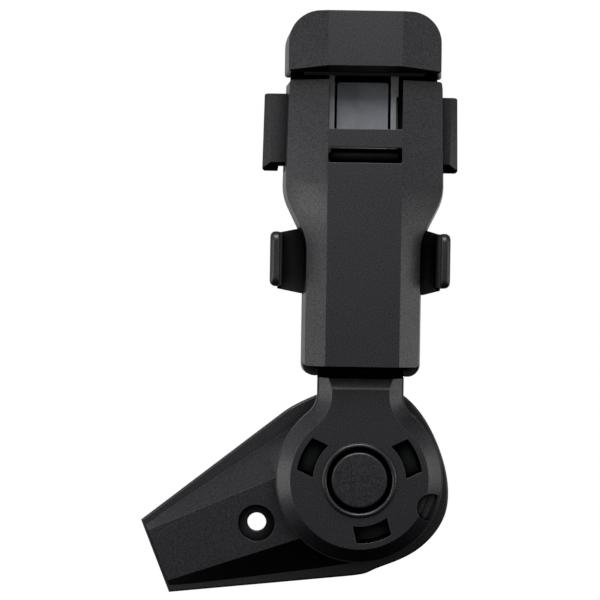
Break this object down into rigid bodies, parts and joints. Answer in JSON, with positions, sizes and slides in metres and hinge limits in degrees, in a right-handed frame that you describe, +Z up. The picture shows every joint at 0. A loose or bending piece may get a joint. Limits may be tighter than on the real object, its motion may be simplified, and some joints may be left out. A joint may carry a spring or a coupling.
{
  "type": "swivel clamp bracket",
  "caption": "Wall-mounted wedge base with a push-button swivel head, carrying a flat arm with a sprung sliding jaw and side grips.",
  "frame": {"origin": "swivel axis where it meets the base's flat back face", "axes": "+Y out of the back face into the wall, +Z up the arm, +X to the right seen from the front; the bracket stands out towards -Y"},
  "size_m": [0.0903, 0.04, 0.1672],
  "materials": {
    "moulded_black": "fine textured black moulding",
    "grip_black": "smooth black moulding",
    "acetal_dark": "plain dark moulding",
    "slide_grey": "grey slide moulding",
    "strip_grey": "smooth blue-grey strip",
    "soft_pad": "matt elastomer",
    "plated_steel": "dull plated steel",
    "spring_steel": "drawn spring wire"
  },
  "bodies": {
    "base": {"base_plate": "moulded_black", "index_ring": "acetal_dark", "pivot_bolt": "plated_steel", "pivot_nut": "plated_steel", "thrust_washer": "plated_steel"},
    "arm": {"swivel_head": "moulded_black", "body_front_shell": "moulded_black", "body_rear_shell": "moulded_black", "shell_screws": "plated_steel", "neck_screws": "plated_steel", "roller_pin": "plated_steel", "pinion_axle": "plated_steel", "button_spring": "spring_steel", "jaw_spring_left": "spring_steel", "jaw_spring_right": "spring_steel"},
    "lock": {"lock_button": "moulded_black", "lock_spider": "acetal_dark"},
    "jaw": {"jaw_cap": "moulded_black", "jaw_back": "moulded_black", "jaw_pad": "soft_pad", "jaw_screws": "plated_steel", "jaw_slide": "acetal_dark", "slide_channel": "slide_grey", "slide_strip": "strip_grey"},
    "roller": {"slide_roller": "acetal_dark"},
    "pinion_gear": {"pinion": "acetal_dark"},
    "grip_left": {"grip_arm_left": "grip_black", "grip_pad_left": "soft_pad"},
    "grip_right": {"grip_arm_right": "grip_black", "grip_pad_right": "soft_pad"},
    "tab_left": {"release_tab_left": "moulded_black"},
    "tab_right": {"release_tab_right": "moulded_black"}
  },
  "joints": [
    {"name": "arm_swivel", "type": "hinge", "parent": "base", "child": "arm", "pos_m": [0, 0, 0], "axis": [0, -1, 0], "range_deg": [-110, 110]},
    {"name": "lock_press", "type": "slide", "parent": "arm", "child": "lock", "axis": [0, 1, 0], "range_m": [0, 0.0022], "stiffness_N_per_m": 1500, "springref_m": -0.001, "deforming": ["button_spring"]},
    {"name": "jaw_slide", "type": "slide", "parent": "arm", "child": "jaw", "axis": [0, 0, 1], "range_m": [0, 0.025], "stiffness_N_per_m": 300, "springref_m": -0.012, "deforming": ["jaw_spring_left", "jaw_spring_right"]},
    {"name": "roller_spin", "type": "hinge", "parent": "arm", "child": "roller", "pos_m": [0, -0.02945, 0.0919], "axis": [1, 0, 0], "range_deg": [0, 672]},
    {"name": "grip_left_slide", "type": "slide", "parent": "arm", "child": "grip_left", "axis": [-1, 0, 0], "range_m": [0, 0.01]},
    {"name": "grip_right_slide", "type": "slide", "parent": "arm", "child": "grip_right", "axis": [1, 0, 0], "range_m": [0, 0.01]},
    {"name": "pinion_spin", "type": "hinge", "parent": "arm", "child": "pinion_gear", "pos_m": [0, -0.0187, 0.0625], "axis": [0, -1, 0], "range_deg": [0, 144]},
    {"name": "tab_left_press", "type": "slide", "parent": "arm", "child": "tab_left", "axis": [1, 0, 0], "range_m": [0, 0.0008], "stiffness_N_per_m": 2500, "springref_m": -0.0008},
    {"name": "tab_right_press", "type": "slide", "parent": "arm", "child": "tab_right", "axis": [-1, 0, 0], "range_m": [0, 0.0008], "stiffness_N_per_m": 2500, "springref_m": -0.0008}
  ],
  "couplings": [
    {"joint": "grip_right_slide", "follows": "grip_left_slide", "ratio": 1},
    {"joint": "pinion_spin", "follows": "grip_left_slide", "rad_per_m": 250},
    {"joint": "roller_spin", "follows": "jaw_slide", "rad_per_m": 465.12}
  ]
}
